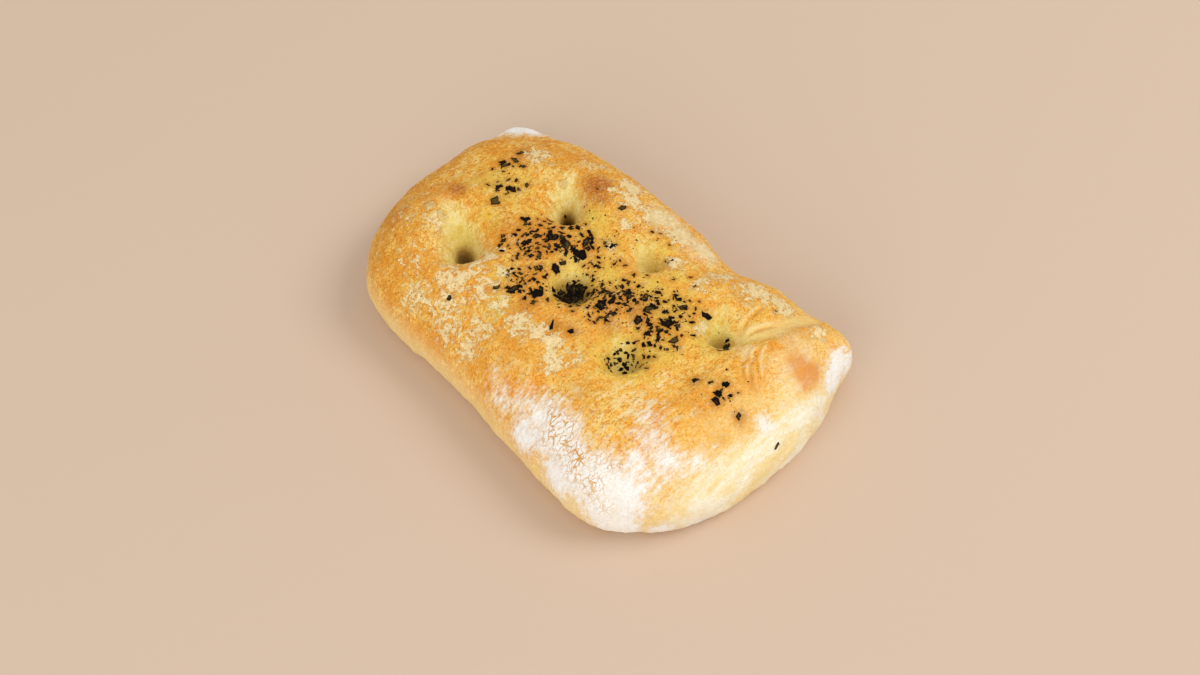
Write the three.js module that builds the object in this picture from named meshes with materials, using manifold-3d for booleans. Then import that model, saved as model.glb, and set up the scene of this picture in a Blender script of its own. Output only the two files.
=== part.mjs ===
// Turkish bread: a flat loaf pulled out by hand, with finger dimples, a pale floured end and dark herb
// flakes baked onto its crust, all one solid. Millimetres, +Z up. X runs along the loaf towards its
// pale end, Y towards the long side with the waist, and the origin lies under the middle of the loaf.
import * as THREE from 'three';
import { mergeVertices } from 'three/addons/utils/BufferGeometryUtils.js';
import Module from 'manifold-3d';

// Outline from above: a rounded rectangle that swells, or draws in below zero, towards some directions,
// which are in degrees from +X towards +Y.
const HALF_LENGTH = 107;
const HALF_WIDTH = 67.5;
const SQUARENESS = 2.8;
const OUTLINE_SWELLS = [
  { toward: 40, out: 19.5, spread: 8.5 }, // knob at the corner of the pale end
  { toward: 56, out: 7, spread: 7.5 }, // bulge between the knob and the waist
  { toward: 70, out: -4, spread: 14 }, // waist
  { toward: 153, out: 6.5, spread: 22 }, // far corner of the browned end
  { toward: 154, out: -5, spread: 8 }, // drawn in above the lip
  { toward: -143, out: 4.5, spread: 12 }, // near corner of the browned end
  { toward: -104, out: -5, spread: 33 }, // hollow of the long side opposite the waist
  { toward: -42, out: 8, spread: 14 }, // floured corner
  { toward: 27, out: 4.5, spread: 10 }, // belly of the pale end
];
const OUTLINE_STEPS = 360;

// Section: the side tucks in below the girth, and the shoulder rises from the girth to the crown.
const GIRTH_HEIGHT = 15;
const BASE_INSET = 7;
const CROWN_HEIGHT = 41;
const SHOULDER_WIDTH = 38;

// A lip of dough that the girth squeezes out at the browned end. It fades out above and below.
const LIP = { toward: 154, out: 13, spread: 7 };
const LIP_REACH_IN = 2.4;
const LIP_FADE_DOWN = 1.3;

// Raised cushions of dough between the dimples.
const CUSHIONS = [
  { x: -79, y: -15, rise: 3, reach: 17 },
  { x: -37, y: 41, rise: 3, reach: 18 },
  { x: -23, y: 0, rise: 2, reach: 15 },
  { x: 31, y: -5, rise: 2, reach: 14 },
  { x: 83, y: -9, rise: 3, reach: 18 },
  { x: 89, y: 39, rise: 4, reach: 15 },
  { x: 43, y: 41, rise: 2.5, reach: 15 },
  { x: 1, y: -45, rise: 2, reach: 18 },
];

// Finger dimples: a steep hole at the bottom of a funnel. The fingers came down at a slant, so the near wall
// of a dimple is steep and its funnel runs out on the far side. Along, near and far are radii of the hole,
// and the funnel's reach is the one on the far side.
const DIMPLES = [
  { x: -51.5, y: -27.5, depth: 10, along: 4.2, near: 3.6, far: 6, dip: 14, reach: 17, turn: 64 },
  { x: -36.7, y: 18.5, depth: 11, along: 3, near: 3.2, far: 5, dip: 11, reach: 14, turn: 48 },
  { x: -3, y: -8, depth: 4, along: 8.5, near: 9, far: 7.5, dip: 5.5, reach: 15, turn: 48 },
  { x: 9.5, y: 25.7, depth: 8, along: 5.5, near: 3, far: 6, dip: 3.5, reach: 11, turn: 68 },
  { x: 39.5, y: -17.5, depth: 5, along: 8.8, near: 6.5, far: 7, dip: 5, reach: 13, turn: 55 },
  { x: 57.7, y: 20, depth: 4, along: 5, near: 2.6, far: 4.5, dip: 7, reach: 13, turn: 45 },
];
const FUNNEL_ALONG = 0.55;
const FUNNEL_NEAR = 0.42;

// Creases where the dough folded as it was pulled, each along a path. The left and the right slope have
// a width of their own, and end is the share of the depth that is left where the path ends.
const CREASES = [
  // over the edge, to the pale end, across the loaf and out to the waist
  { path: [[60, 22], [66, 29], [70.5, 39.5], [73, 60]], depth: 3.2, left: 8, right: 4, end: 1 },
  { path: [[62, 20], [72, 19], [81, 16], [92, 7]], depth: 2, left: 3, right: 3, end: 0 },
  { path: [[58, 9], [66, -18], [60, -48]], depth: 1.6, left: 8, right: 8, end: 0.3 },
  { path: [[25, 37], [31, 62]], depth: 3, left: 7, right: 7, end: 1 },
];
const CREASE_START = 0.2;

// Facets: a net over the top, closer at the girth and round the dimples, and rings down the side.
const NET_ALONG = 58;
const NET_ACROSS = 40;
const NET_CROWDING = 1.25;
const NET_DRAW = 0.55;
const NET_DRAW_REACH = 2.2;
const NET_DRAW_EDGE = 6;
const SIDE_RINGS = 4;

// The largest herb flakes: x, y, length, width and turn in degrees.
const LARGE_FLAKES = [
  [-77.5, 28, 7, 3, 84], // trail down from the browned end
  [-75, 15.5, 5.5, 2.5, 61],
  [-61, -1.5, 6, 5, 114],
  [-44.5, 1.5, 4.8, 4, 23],
  [-27.5, 2.5, 6.8, 3.5, 42], // upper half of the strewn band
  [-34, -8, 5, 3.5, 17],
  [-21, 4, 6, 4, 114],
  [-14, 6, 7, 5.5, 12],
  [-17, 12, 7, 3, 109],
  [-18, -28, 7.5, 3.5, 84],
  [-10, -22, 6, 5, 61],
  [-15, -7, 5, 4, -4],
  [13, -6, 6.5, 5.5, 138], // lower half of the strewn band
  [14.5, -1.5, 5.5, 3, 114],
  [16.5, 6, 7.5, 2.5, 126],
  [29, 6, 6.5, 4.5, 95],
  [38.5, 7, 7, 5, 17],
  [45, 23.5, 6.3, 3.5, 14],
  [37, 18.5, 5, 3.5, 35],
  [30, -1, 5, 4, 138],
  [47, 3.5, 6.4, 3, 84],
  [68, -4, 5.5, 3, 35], // patch before the pale end
  [79.5, -2.5, 4, 3.5, 73],
  [81.5, -6, 5, 3.5, -9],
  [78, 3, 4, 3.5, 100],
  [91, -2, 3.8, 3, 138],
  [-21, 36.5, 4, 3, 73], // strays
  [7.5, -29, 6.4, 1.8, 130],
  [15, -25, 3.5, 2.6, 73],
  [-36, -48.5, 3, 2.6, 138],
  [105.5, 6.5, 4.2, 1.6, 122],
];

// The other flakes by zone: its middle, its reach along X and across, how many and the longest.
const FLAKE_ZONES = [
  { x: -68, y: 12, along: 10, across: 9, count: 6, longest: 2.8 }, // trail down from the browned end
  { x: -40, y: 21, along: 1.5, across: 1.5, count: 2, longest: 3.5 }, // in a deep dimple
  { x: -33, y: -1, along: 12, across: 9, count: 14, longest: 3.2 }, // upper half of the strewn band
  { x: -20, y: 9, along: 12, across: 8, count: 12, longest: 3.2 },
  { x: -14, y: -24, along: 10, across: 7, count: 5, longest: 2.8 },
  { x: -4, y: -8, along: 3.5, across: 6.5, count: 16, longest: 4.2 }, // packed in the middle dimple
  { x: 14, y: 1, along: 7, across: 7, count: 8, longest: 3.2 }, // lower half of the strewn band
  { x: 27, y: 7, along: 12, across: 11, count: 16, longest: 3.6 },
  { x: 41, y: 8, along: 8, across: 9, count: 9, longest: 3.4 },
  { x: 40, y: 21, along: 7, across: 5, count: 4, longest: 3 },
  { x: 36.5, y: -16.5, along: 4.5, across: 8, count: 12, longest: 3.8 }, // in the long dimple
  { x: 62, y: 18, along: 2, across: 2, count: 2, longest: 3.6 },
  { x: 80, y: -1, along: 10, across: 6, count: 4, longest: 2.6 }, // patch before the pale end
  { x: 4, y: 38, along: 8, across: 2, count: 2, longest: 2.8 }, // strays
  { x: 62, y: 48, along: 0, across: 0, count: 1, longest: 2.8 },
];
const FLAKE_SEED = 20417;
const FLAKE_CORNERS = 5;
const FLAKE_ROOT = 1.2;
const FLAKE_PROUD = 0.7;

const CRUST_COLOUR = '#dfa653';
const CRUST_ROUGHNESS = 0.75;

const { clamp, degToRad, radToDeg, euclideanModulo, lerp, smoothstep } = THREE.MathUtils;
const GOLDEN_ANGLE = degToRad(137.508);
const UP = new THREE.Vector3(0, 0, 1);

function bell(t) {
  return Math.exp(-t * t);
}

// How far a swell reaches out in a direction, given in radians.
function swellOut(direction, { toward, out, spread }) {
  const off = euclideanModulo(radToDeg(direction) - toward + 180, 360) - 180;
  return out * bell(off / spread);
}

function outlineRadius(direction) {
  const along = Math.abs(Math.cos(direction) / HALF_LENGTH) ** SQUARENESS;
  const across = Math.abs(Math.sin(direction) / HALF_WIDTH) ** SQUARENESS;
  const plain = (along + across) ** (-1 / SQUARENESS);
  return OUTLINE_SWELLS.reduce((radius, swell) => radius + swellOut(direction, swell), plain);
}

function rayPoint(direction, radius) {
  return new THREE.Vector2(Math.cos(direction), Math.sin(direction)).multiplyScalar(radius);
}

// The outline, moved so that the middle of its box lies over the origin. Its pole moves with it.
const outline = Array.from({ length: OUTLINE_STEPS }, (_, step) => {
  const direction = degToRad((360 * step) / OUTLINE_STEPS);
  return rayPoint(direction, outlineRadius(direction));
});
const pole = new THREE.Box2().setFromPoints(outline).getCenter(new THREE.Vector2()).negate();
const closedOutline = [...outline, outline[0]].map((point) => point.clone().add(pole).toArray());

// Where a place lies beside a path: how far off, above zero on the left, and its share along the path.
function besidePath(x, y, path) {
  const nearest = { off: Infinity, share: 0 };
  for (let i = 1; i < path.length; i++) {
    const [x0, y0] = path[i - 1];
    const runX = path[i][0] - x0;
    const runY = path[i][1] - y0;
    const t = clamp(((x - x0) * runX + (y - y0) * runY) / (runX * runX + runY * runY), 0, 1);
    const offX = x - x0 - t * runX;
    const offY = y - y0 - t * runY;
    const away = Math.hypot(offX, offY);
    if (away >= Math.abs(nearest.off)) continue;
    nearest.off = runX * offY > runY * offX ? away : -away;
    nearest.share = (i - 1 + t) / (path.length - 1);
  }
  return nearest;
}

function edgeDistance(x, y) {
  return Math.abs(besidePath(x, y, closedOutline).off);
}

function dimpleDepth(x, y, dimple) {
  const off = new THREE.Vector2(x - dimple.x, y - dimple.y);
  const axis = rayPoint(degToRad(dimple.turn), 1);
  const forward = off.dot(axis);
  const aside = axis.cross(off);
  const hole = Math.hypot(forward / dimple.along, aside / (aside > 0 ? dimple.far : dimple.near));
  const across = dimple.reach * (aside > 0 ? 1 : FUNNEL_NEAR);
  const funnel = Math.hypot(forward / (dimple.reach * FUNNEL_ALONG), aside / across);
  return dimple.depth * Math.exp(-(hole ** 3)) + dimple.dip * bell(funnel);
}

function creaseDepth(x, y, { path, depth, left, right, end }) {
  const { off, share } = besidePath(x, y, path);
  const deep = depth * smoothstep(share, 0, CREASE_START) * lerp(1, end, share);
  return deep * bell(off / (off > 0 ? left : right));
}

function crownHeight(x, y) {
  let height = CROWN_HEIGHT;
  for (const cushion of CUSHIONS) {
    height += cushion.rise * bell(Math.hypot(x - cushion.x, y - cushion.y) / cushion.reach);
  }
  for (const dimple of DIMPLES) height -= dimpleDepth(x, y, dimple);
  for (const crease of CREASES) height -= creaseDepth(x, y, crease);
  return height;
}

// A quarter of an ellipse from the girth, where inward is 0, up to the crown.
function topHeight(x, y, inward) {
  const t = clamp(inward / SHOULDER_WIDTH, 0, 1);
  const rise = Math.sqrt(1 - (1 - t) ** 2);
  return GIRTH_HEIGHT + (crownHeight(x, y) - GIRTH_HEIGHT) * rise;
}

function netDirection(s, t) {
  return Math.atan2(t * HALF_WIDTH, s * HALF_LENGTH);
}

// A corner of the square net, s and t from -1 to 1, laid on the top of the loaf.
function topPoint(s, t) {
  const outward = Math.max(Math.abs(s), Math.abs(t));
  const direction = netDirection(s, t);
  const share = 1 - (1 - outward) ** NET_CROWDING;
  const place = rayPoint(direction, outlineRadius(direction) * share).add(pole);
  for (const dimple of DIMPLES) {
    const reach = NET_DRAW_REACH * Math.max(dimple.along, dimple.near);
    const off = new THREE.Vector2(dimple.x, dimple.y).sub(place);
    const hold = Math.min(1, (1 - outward) * NET_DRAW_EDGE);
    place.addScaledVector(off, NET_DRAW * bell(off.length() / reach) * hold);
  }
  const inward = outward === 1 ? 0 : edgeDistance(place.x, place.y);
  const height = topHeight(place.x, place.y, inward);
  place.add(rayPoint(direction, swellOut(direction, LIP) * bell(inward / LIP_REACH_IN)));
  return new THREE.Vector3(place.x, place.y, height);
}

// A point of the side, from the girth, where down is 0, to the base, where it is 1.
function sidePoint(direction, down) {
  const turn = (down * Math.PI) / 2;
  const place = rayPoint(direction, outlineRadius(direction)).add(pole);
  const before = rayPoint(direction - 0.01, outlineRadius(direction - 0.01));
  const after = rayPoint(direction + 0.01, outlineRadius(direction + 0.01));
  const along = after.sub(before).normalize();
  const inset = BASE_INSET * (1 - Math.cos(turn));
  place.add(new THREE.Vector2(-along.y, along.x).multiplyScalar(inset));
  const fade = bell(LIP_FADE_DOWN * Math.sin(turn));
  place.add(rayPoint(direction, swellOut(direction, LIP) * fade));
  return new THREE.Vector3(place.x, place.y, GIRTH_HEIGHT * (1 - Math.sin(turn)));
}

// The net's border as vertex numbers, once round from the corner at s = -1, t = -1.
function netBorder() {
  const vertex = (column, row) => (NET_ACROSS - row) * (NET_ALONG + 1) + column;
  const border = [];
  for (let column = 0; column < NET_ALONG; column++) border.push(vertex(column, 0));
  for (let row = 0; row < NET_ACROSS; row++) border.push(vertex(NET_ALONG, row));
  for (let column = NET_ALONG; column > 0; column--) border.push(vertex(column, NET_ACROSS));
  for (let row = NET_ACROSS; row > 0; row--) border.push(vertex(0, row));
  return border;
}

// Each square of the net is split along its shorter diagonal, which follows a dimple's wall better.
function splitSquares(corners, points) {
  const triangles = [];
  for (let i = 0; i < corners.length; i += 6) {
    const [a, b, d, , c] = corners.slice(i, i + 6);
    const shorter = points[a].distanceTo(points[c]) < points[b].distanceTo(points[d]);
    triangles.push(...(shorter ? [a, b, c, a, c, d] : [a, b, d, b, c, d]));
  }
  return triangles;
}

function bareLoaf() {
  const net = new THREE.PlaneGeometry(2, 2, NET_ALONG, NET_ACROSS);
  const corners = net.getAttribute('position');
  const points = [];
  for (let i = 0; i < corners.count; i++) points.push(topPoint(corners.getX(i), corners.getY(i)));
  const triangles = splitSquares(net.index.array, points);

  let ring = netBorder();
  const directions = ring.map((i) => netDirection(corners.getX(i), corners.getY(i)));
  for (let step = 1; step <= SIDE_RINGS; step++) {
    const below = directions.map((direction) => points.push(sidePoint(direction, step / SIDE_RINGS)) - 1);
    for (let k = 0; k < ring.length; k++) {
      const next = (k + 1) % ring.length;
      triangles.push(ring[k], below[k], below[next], ring[k], below[next], ring[next]);
    }
    ring = below;
  }
  const base = ring.map((i) => new THREE.Vector2(points[i].x, points[i].y));
  for (const [a, b, c] of THREE.ShapeUtils.triangulateShape(base, [])) {
    triangles.push(ring[a], ring[c], ring[b]);
  }
  return new THREE.BufferGeometry().setFromPoints(points).setIndex(triangles);
}

// Even draws between 0 and 1, the same ones for the same seed.
function dice(seed) {
  let state = seed;
  return () => {
    state = (state * 48271) % 2147483647;
    return state / 2147483647;
  };
}

// A ragged chip of dried leaf, standing on its end face with its root below zero.
function flakeGeometry(length, width, draw) {
  const rim = Array.from({ length: FLAKE_CORNERS }, (_, corner) => {
    const turn = (2 * Math.PI * (corner + 0.6 * draw())) / FLAKE_CORNERS;
    return new THREE.Vector2((length / 2) * Math.cos(turn), (width / 2) * Math.sin(turn));
  });
  const depth = FLAKE_ROOT + FLAKE_PROUD;
  const chip = new THREE.ExtrudeGeometry(new THREE.Shape(rim), { depth, bevelEnabled: false });
  return chip.translate(0, 0, -FLAKE_ROOT);
}

// Where each flake lies, its size and its turn: the largest, then each zone from its middle outwards.
function* flakePlaces(draw) {
  for (const [x, y, length, width, turn] of LARGE_FLAKES) yield { x, y, length, width, turn: degToRad(turn) };
  for (const zone of FLAKE_ZONES) {
    for (let k = 0; k < zone.count; k++) {
      const toward = GOLDEN_ANGLE * (k + 0.5 * draw());
      const out = Math.sqrt((k + draw()) / zone.count);
      const x = zone.x + zone.along * out * Math.cos(toward);
      const y = zone.y + zone.across * out * Math.sin(toward);
      const length = zone.longest * (1 - 0.5 * draw());
      const width = length * (0.4 + 0.4 * draw());
      yield { x, y, length, width, turn: 2 * Math.PI * draw() };
    }
  }
}

// Chips of leaf, each lying flat on the crust below it.
function strewnFlakes(loaf) {
  const draw = dice(FLAKE_SEED);
  const crust = new THREE.Mesh(loaf, new THREE.MeshStandardMaterial());
  const above = new THREE.Raycaster();
  const flakes = [];
  for (const { x, y, length, width, turn } of flakePlaces(draw)) {
    above.set(new THREE.Vector3(x, y, 2 * CROWN_HEIGHT), UP.clone().negate());
    const { point, face } = above.intersectObject(crust)[0];
    const lie = new THREE.Quaternion().setFromUnitVectors(UP, face.normal);
    const chip = flakeGeometry(length, width, draw).rotateZ(turn).applyQuaternion(lie);
    flakes.push(chip.translate(point.x, point.y, point.z));
  }
  return flakes;
}

const wasm = await Module();
wasm.setup();

function toSolid(geometry) {
  const bare = geometry.clone();
  bare.deleteAttribute('normal');
  bare.deleteAttribute('uv');
  const closed = mergeVertices(bare);
  const vertProperties = new Float32Array(closed.getAttribute('position').array);
  const triVerts = new Uint32Array(closed.index.array);
  return new wasm.Manifold(new wasm.Mesh({ numProp: 3, vertProperties, triVerts }));
}

function toGeometry(solid) {
  const { vertProperties, triVerts } = solid.getMesh();
  const geometry = new THREE.BufferGeometry();
  geometry.setAttribute('position', new THREE.BufferAttribute(vertProperties, 3));
  geometry.setIndex(new THREE.BufferAttribute(triVerts, 1));
  geometry.computeVertexNormals();
  return geometry;
}

// The loaf with its flakes grown on. Only the body of the bread is kept: a chip that missed the crust
// is dropped, and a hollow shut in under a chip is filled.
function herbLoaf() {
  const loaf = bareLoaf();
  let solid = toSolid(loaf);
  for (const chip of strewnFlakes(loaf)) solid = solid.add(toSolid(chip));
  const bodies = solid.decompose().sort((a, b) => b.volume() - a.volume());
  return toGeometry(bodies[0]);
}

const finish = { color: CRUST_COLOUR, roughness: CRUST_ROUGHNESS, metalness: 0 };
const bread = new THREE.Mesh(herbLoaf(), new THREE.MeshStandardMaterial(finish));
bread.name = 'loaf';

const part = new THREE.Group();
part.add(bread);

export default part;
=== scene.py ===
import math
from collections import namedtuple
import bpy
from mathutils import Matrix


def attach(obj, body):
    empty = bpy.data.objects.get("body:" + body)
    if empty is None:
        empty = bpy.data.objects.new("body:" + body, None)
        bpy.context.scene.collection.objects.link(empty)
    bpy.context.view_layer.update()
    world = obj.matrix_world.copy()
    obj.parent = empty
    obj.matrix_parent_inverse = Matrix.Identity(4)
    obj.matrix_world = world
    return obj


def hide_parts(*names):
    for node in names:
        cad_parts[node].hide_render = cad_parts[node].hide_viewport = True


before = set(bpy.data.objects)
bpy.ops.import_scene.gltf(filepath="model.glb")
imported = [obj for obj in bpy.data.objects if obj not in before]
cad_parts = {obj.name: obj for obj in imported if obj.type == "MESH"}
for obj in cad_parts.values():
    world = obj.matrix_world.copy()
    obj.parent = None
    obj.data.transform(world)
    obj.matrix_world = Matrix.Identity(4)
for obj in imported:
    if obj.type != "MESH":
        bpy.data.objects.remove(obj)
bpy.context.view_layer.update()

from types import SimpleNamespace

import bpy
import numpy as np
from mathutils import Vector, bvhtree, noise

scene = bpy.context.scene

# Camera: it looks down on the loaf from beside its pale end, as the photograph does. The lens gives the
# loaf the size that it has in a picture 1200 pixels wide.
AZIMUTH = math.radians(48)
ELEVATION = math.radians(52)
CAMERA_DISTANCE = 0.9
CAMERA_AIM = Vector((0.013, -0.007, 0.020))
PICTURE_WIDTH = 1200
PIXELS_PER_METRE = 2350

view_back = Vector((
    math.sin(AZIMUTH) * math.cos(ELEVATION),
    -math.cos(AZIMUTH) * math.cos(ELEVATION),
    math.sin(ELEVATION),
))
camera = bpy.data.objects.new("camera", bpy.data.cameras.new("camera"))
camera.data.lens = PIXELS_PER_METRE * CAMERA_DISTANCE * camera.data.sensor_width / PICTURE_WIDTH
camera.location = CAMERA_AIM + view_back * CAMERA_DISTANCE
camera.rotation_euler = view_back.to_track_quat("Z", "Y").to_euler()
scene.collection.objects.link(camera)
scene.camera = camera
scene.view_settings.view_transform = "Standard"

# Loaf: wet dough pulled out flat by hand, pressed with the fingertips, dusted with flour and baked on a
# hot floor. The crust is golden, browner on the raised cushions, oily round the herbs and pale at one
# end, as where loaves touch in the oven. Sizes here are in millimetres, as the solid has them.
MM = 0.001
HALF_LENGTH = 107.0
HALF_WIDTH = 67.5
SQUARENESS = 2.8
OUTLINE_SWELLS = [  # towards which angle, how far out, how wide an angle
    (40, 19.5, 8.5),
    (56, 7, 7.5),
    (70, -4, 14),
    (153, 6.5, 22),
    (154, -5, 8),
    (-143, 4.5, 12),
    (-104, -5, 33),
    (-42, 8, 14),
    (27, 4.5, 10),
]
OUTLINE_STEPS = 360
GIRTH_HEIGHT = 15.0
BASE_INSET = 7.0
CROWN_HEIGHT = 41.0
SHOULDER_WIDTH = 38.0
LIP = (154, 13, 7)  # a swell of the girth alone
LIP_REACH_IN = 2.4
LIP_FADE_DOWN = 1.3
CUSHIONS = [  # x, y, rise, reach
    (-79, -15, 3, 17),
    (-37, 41, 3, 18),
    (-23, 0, 2, 15),
    (31, -5, 2, 14),
    (83, -9, 3, 18),
    (89, 39, 4, 15),
    (43, 41, 2.5, 15),
    (1, -45, 2, 18),
]
Dimple = namedtuple("Dimple", "x y hole_depth along near far funnel_depth reach turn")
DIMPLES = [  # along, near and far are the hole's radii, reach is the funnel's, turn is in degrees
    Dimple(-51.5, -27.5, 10, 4.2, 3.6, 6, 14, 17, 64),
    Dimple(-36.7, 18.5, 11, 3, 3.2, 5, 11, 14, 48),
    Dimple(-3, -8, 4, 8.5, 9, 7.5, 5.5, 15, 48),
    Dimple(9.5, 25.7, 8, 5.5, 3, 6, 3.5, 11, 68),
    Dimple(39.5, -17.5, 5, 8.8, 6.5, 7, 5, 13, 55),
    Dimple(57.7, 20, 4, 5, 2.6, 4.5, 7, 13, 45),
]
# painted shade deep in each dimple's hole, darker than the crust's own colour
PAINTED_HOLE_SHADES = [  # how dark, and how far the darkest place is off the hole in x and y
    (0.74, -1.8, 1.4),
    (0.95, -0.8, 0.8),
    (0.7, 0, 0),
    (0, 0, 0),
    (0.22, 0, 0),
    (0.45, 0, 0),
]
HOLE_STEEPNESS = 3
FUNNEL_ALONG = 0.55  # shares of a funnel's reach
FUNNEL_NEAR = 0.42
Crease = namedtuple("Crease", "path depth left right end")
CREASES = [  # left and right are the widths of its slopes, end is the share of the depth at its end
    Crease([(60, 22), (66, 29), (70.5, 39.5), (73, 60)], 3.2, 8, 4, 1),
    Crease([(62, 20), (72, 19), (81, 16), (92, 7)], 2, 3, 3, 0),
    Crease([(58, 9), (66, -18), (60, -48)], 1.6, 8, 8, 0.3),
    Crease([(25, 37), (31, 62)], 3, 7, 7, 1),
]
KNOB_CREASE = CREASES[0]
CREASE_START = 0.2  # share of its path over which a crease sets in
NET_ALONG = 340  # squares of the net that is laid over the top
NET_ACROSS = 220
NET_CROWDING = 1.25
NET_DRAW = 0.3  # how far the dimples draw the net together
NET_DRAW_REACH = 2.2
NET_DRAW_EDGE = 6
SIDE_RINGS = 16


def bell(t):
    return np.exp(-t * t)


def smooth(low, high, t):
    """0 below low, 1 above high, and a soft rise between them."""
    share = np.clip((t - low) / (high - low), 0, 1)
    return share * share * (3 - 2 * share)


def swell_out(direction, swell):
    toward, out, spread = swell
    off = (np.degrees(direction) - toward + 180) % 360 - 180
    return out * bell(off / spread)


def outline_radius(direction):
    along = np.abs(np.cos(direction) / HALF_LENGTH) ** SQUARENESS
    across = np.abs(np.sin(direction) / HALF_WIDTH) ** SQUARENESS
    return (along + across) ** (-1 / SQUARENESS) + sum(swell_out(direction, s) for s in OUTLINE_SWELLS)


def ray_points(direction, radius):
    return np.stack([radius * np.cos(direction), radius * np.sin(direction)], -1)


turn = np.arange(OUTLINE_STEPS + 1) * 2 * np.pi / OUTLINE_STEPS
outline = ray_points(turn, outline_radius(turn))
pole = -(outline.max(0) + outline.min(0)) / 2
outline = outline + pole


def beside_path(plan, path):
    """How far places in plan are off a path, above zero on its left, and their share along it."""
    path = np.asarray(path, float)
    nearest = np.full(len(plan), np.inf)
    share = np.zeros(len(plan))
    for i, (start, end) in enumerate(zip(path[:-1], path[1:])):
        run = end - start
        t = np.clip((plan - start) @ run / (run @ run), 0, 1)
        off = plan - start - t[:, None] * run
        away = np.linalg.norm(off, axis=1)
        closer = away < np.abs(nearest)
        left = run[0] * off[:, 1] > run[1] * off[:, 0]
        nearest = np.where(closer, np.where(left, away, -away), nearest)
        share = np.where(closer, (i + t) / (len(path) - 1), share)
    return nearest, share


def beside_dimple(plan, dimple):
    """How far places in plan are along a dimple and aside from it, above zero on its far side."""
    off = plan - np.array([dimple.x, dimple.y])
    turn = math.radians(dimple.turn)
    return off @ ray_points(turn, 1), off @ ray_points(turn + np.pi / 2, 1)


def hole_share(plan, dimple):
    """1 at the bottom of a dimple's hole, falling to 0 outside it."""
    forward, aside = beside_dimple(plan, dimple)
    across = np.where(aside > 0, dimple.far, dimple.near)
    return np.exp(-np.hypot(forward / dimple.along, aside / across) ** HOLE_STEEPNESS)


def funnel_share(plan, dimple, farther=1):
    """1 at the bottom of a dimple's funnel, falling to 0 outside it, slowly on its far side."""
    forward, aside = beside_dimple(plan, dimple)
    across = dimple.reach * np.where(aside > 0, farther, FUNNEL_NEAR)
    return bell(np.hypot(forward / (FUNNEL_ALONG * dimple.reach), aside / across))


def crease_share(plan, crease):
    off, share = beside_path(plan, crease.path)
    deep = smooth(0, CREASE_START, share) * (1 + (crease.end - 1) * share)
    return deep * bell(off / np.where(off > 0, crease.left, crease.right))


def crown_height(plan):
    height = np.full(len(plan), CROWN_HEIGHT)
    for at_x, at_y, rise, reach in CUSHIONS:
        height += rise * bell(np.hypot(plan[:, 0] - at_x, plan[:, 1] - at_y) / reach)
    for dimple in DIMPLES:
        height -= dimple.hole_depth * hole_share(plan, dimple)
        height -= dimple.funnel_depth * funnel_share(plan, dimple)
    for crease in CREASES:
        height -= crease.depth * crease_share(plan, crease)
    return height


def loaf_top(s, t):
    """Corners of a square net, s and t from -1 to 1, laid on the top of the loaf."""
    outward = np.maximum(np.abs(s), np.abs(t))
    direction = np.arctan2(t * HALF_WIDTH, s * HALF_LENGTH)
    share = 1 - (1 - outward) ** NET_CROWDING
    place = ray_points(direction, outline_radius(direction) * share) + pole
    hold = np.minimum(1, (1 - outward) * NET_DRAW_EDGE)
    for dimple in DIMPLES:
        off = np.array([dimple.x, dimple.y]) - place
        reach = NET_DRAW_REACH * max(dimple.along, dimple.near)
        pull = NET_DRAW * bell(np.linalg.norm(off, axis=1) / reach) * hold
        place = place + off * pull[:, None]
    inward = np.where(outward == 1, 0, np.abs(beside_path(place, outline)[0]))
    rise = np.sqrt(1 - (1 - np.clip(inward / SHOULDER_WIDTH, 0, 1)) ** 2)
    height = GIRTH_HEIGHT + (crown_height(place) - GIRTH_HEIGHT) * rise
    place = place + ray_points(direction, swell_out(direction, LIP) * bell(inward / LIP_REACH_IN))
    return np.column_stack([place, height])


def loaf_side(direction, down):
    """A ring round the side, from the girth, where down is 0, to the base, where it is 1."""
    bend = down * np.pi / 2
    place = ray_points(direction, outline_radius(direction)) + pole
    along = np.roll(place, -1, 0) - np.roll(place, 1, 0)
    along /= np.linalg.norm(along, axis=1)[:, None]
    place = place + np.stack([-along[:, 1], along[:, 0]], -1) * BASE_INSET * (1 - math.cos(bend))
    fade = math.exp(-(LIP_FADE_DOWN * math.sin(bend)) ** 2)
    place = place + ray_points(direction, swell_out(direction, LIP) * fade)
    return np.column_stack([place, np.full(len(place), GIRTH_HEIGHT * (1 - math.sin(bend)))])


def loaf_surface():
    """Points and faces of the closed loaf: the net over the top, rings down the side, and the base."""
    s, t = np.meshgrid(np.linspace(-1, 1, NET_ALONG + 1), np.linspace(-1, 1, NET_ACROSS + 1), indexing="ij")
    s, t = s.ravel(), t.ravel()
    number = np.arange(len(s)).reshape(NET_ALONG + 1, NET_ACROSS + 1)
    corners = [number[:-1, :-1], number[1:, :-1], number[1:, 1:], number[:-1, 1:]]
    squares = [np.stack(corners, -1).reshape(-1, 4)]
    ring = np.concatenate([number[:-1, 0], number[-1, :-1], number[:0:-1, -1], number[0, :0:-1]])
    direction = np.arctan2(t[ring] * HALF_WIDTH, s[ring] * HALF_LENGTH)
    points = [loaf_top(s, t)]
    count = len(s)
    for step in range(1, SIDE_RINGS + 1):
        points.append(loaf_side(direction, step / SIDE_RINGS))
        below = count + np.arange(len(ring))
        squares.append(np.stack([ring, below, np.roll(below, -1), np.roll(ring, -1)], -1))
        ring = below
        count += len(ring)
    points.append(np.array([[*pole, 0.0]]))
    fan = np.stack([ring, np.full(len(ring), count), np.roll(ring, -1)], -1)
    return np.concatenate(points), np.concatenate(squares).tolist() + fan.tolist()


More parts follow.
